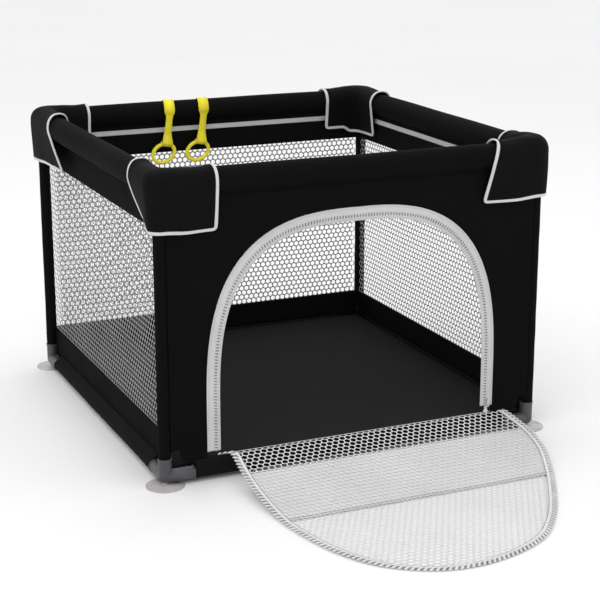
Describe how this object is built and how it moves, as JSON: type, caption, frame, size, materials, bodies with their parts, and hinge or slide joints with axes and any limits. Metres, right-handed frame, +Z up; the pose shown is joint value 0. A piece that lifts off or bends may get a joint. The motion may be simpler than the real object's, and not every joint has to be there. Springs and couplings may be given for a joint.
{
  "type": "playpen",
  "caption": "Square mesh-sided baby playpen with a padded top rail, suction feet, pull rings and an arched zip gate folded open onto the floor.",
  "frame": {"origin": "on the floor, in the middle of the whole footprint: the pen and its gate laid open in front", "axes": "+Z up, -Y towards the gate in front, +X to the right as seen from the gate"},
  "size_m": [0.985, 1.5526, 0.6914],
  "materials": {
    "black_oxford": "woven oxford cloth, matt",
    "tube_steel": "powder coated",
    "elbow_plastic": "satin moulded plastic",
    "cup_vinyl": "soft milky vinyl",
    "side_mesh": "knitted hexagonal net",
    "white_piping": "covered cord",
    "zip_tape": "woven tape with coil teeth",
    "mat_fabric": "quilted cloth",
    "gate_white_mesh": "knitted hexagonal net",
    "gate_lining": "thin woven cloth",
    "gate_binding": "stitched binding tape",
    "rail_foam": "foam tube",
    "grey_ribbon": "ribbed ribbon",
    "ring_plastic": "glossy moulded plastic",
    "yellow_webbing": "woven webbing",
    "zip_metal": "white enamel"
  },
  "bodies": {
    "pen": {"base_elbow_back_left": "elbow_plastic", "base_elbow_back_right": "elbow_plastic", "base_elbow_front_left": "elbow_plastic", "base_elbow_front_right": "elbow_plastic", "bottom_sleeve_back": "black_oxford", "bottom_sleeve_front": "black_oxford", "bottom_sleeve_left": "black_oxford", "bottom_sleeve_right": "black_oxford", "bottom_tube_back": "tube_steel", "bottom_tube_front": "tube_steel", "bottom_tube_left": "tube_steel", "bottom_tube_right": "tube_steel", "corner_cover_back_left": "black_oxford", "corner_cover_back_right": "black_oxford", "corner_cover_front_left": "black_oxford", "corner_cover_front_right": "black_oxford", "corner_piping": "white_piping", "door_zip_tape": "zip_tape", "floor_mat": "mat_fabric", "front_panel": "black_oxford", "gate_apron": "gate_white_mesh", "lower_band_back": "black_oxford", "lower_band_left": "black_oxford", "lower_band_right": "black_oxford", "mesh_back": "side_mesh", "mesh_left": "side_mesh", "mesh_right": "side_mesh", "post_back_left": "tube_steel", "post_back_right": "tube_steel", "post_front_left": "tube_steel", "post_front_right": "tube_steel", "post_sleeve_back_left": "black_oxford", "post_sleeve_back_right": "black_oxford", "post_sleeve_front_left": "black_oxford", "post_sleeve_front_right": "black_oxford", "rail_cover_back": "black_oxford", "rail_cover_front": "black_oxford", "rail_cover_left": "black_oxford", "rail_cover_right": "black_oxford", "rail_pads": "rail_foam", "rail_ribbons": "grey_ribbon", "ring_strap_1": "yellow_webbing", "ring_strap_2": "yellow_webbing", "suction_cups": "cup_vinyl", "top_elbows": "elbow_plastic", "top_tube_back": "tube_steel", "top_tube_front": "tube_steel", "top_tube_left": "tube_steel", "top_tube_right": "tube_steel"},
    "gate": {"gate_mesh": "gate_white_mesh", "gate_lining": "gate_lining", "gate_binding": "gate_binding"},
    "zip_slider": {"zip_slider": "zip_metal"},
    "zip_pull": {"zip_pull": "zip_metal"},
    "ring_tail_1": {"ring_tail_1": "yellow_webbing"},
    "ring_tail_2": {"ring_tail_2": "yellow_webbing"},
    "ring_1": {"ring_1": "ring_plastic"},
    "ring_2": {"ring_2": "ring_plastic"}
  },
  "joints": [
    {"name": "gate_fold", "type": "hinge", "parent": "pen", "child": "gate", "pos_m": [0, -0.18725, 0.0013], "axis": [-1, 0, 0], "range_deg": [0, 90.3]},
    {"name": "zip_slide", "type": "slide", "parent": "pen", "child": "zip_slider", "axis": [0, 0, 1], "range_m": [0, 0.15]},
    {"name": "pull_swing", "type": "hinge", "parent": "zip_slider", "child": "zip_pull", "pos_m": [0.336, -0.18245, 0.0905], "axis": [1, 0, 0], "range_deg": [-160, 0]},
    {"name": "strap_swing_1", "type": "hinge", "parent": "pen", "child": "ring_tail_1", "pos_m": [-0.1205, 0.70055, 0.6494], "axis": [-0.9914, 0, 0.1305], "range_deg": [0, 80]},
    {"name": "ring_swing_1", "type": "hinge", "parent": "ring_tail_1", "child": "ring_1", "pos_m": [-0.12995, 0.70055, 0.57762], "axis": [-0.9914, 0, 0.1305], "range_deg": [-20, 75]},
    {"name": "strap_swing_2", "type": "hinge", "parent": "pen", "child": "ring_tail_2", "pos_m": [-0.026, 0.70055, 0.6494], "axis": [-0.9914, 0, 0.1305], "range_deg": [0, 80]},
    {"name": "ring_swing_2", "type": "hinge", "parent": "ring_tail_2", "child": "ring_2", "pos_m": [-0.03545, 0.70055, 0.57762], "axis": [-0.9914, 0, 0.1305], "range_deg": [-20, 75]}
  ]
}
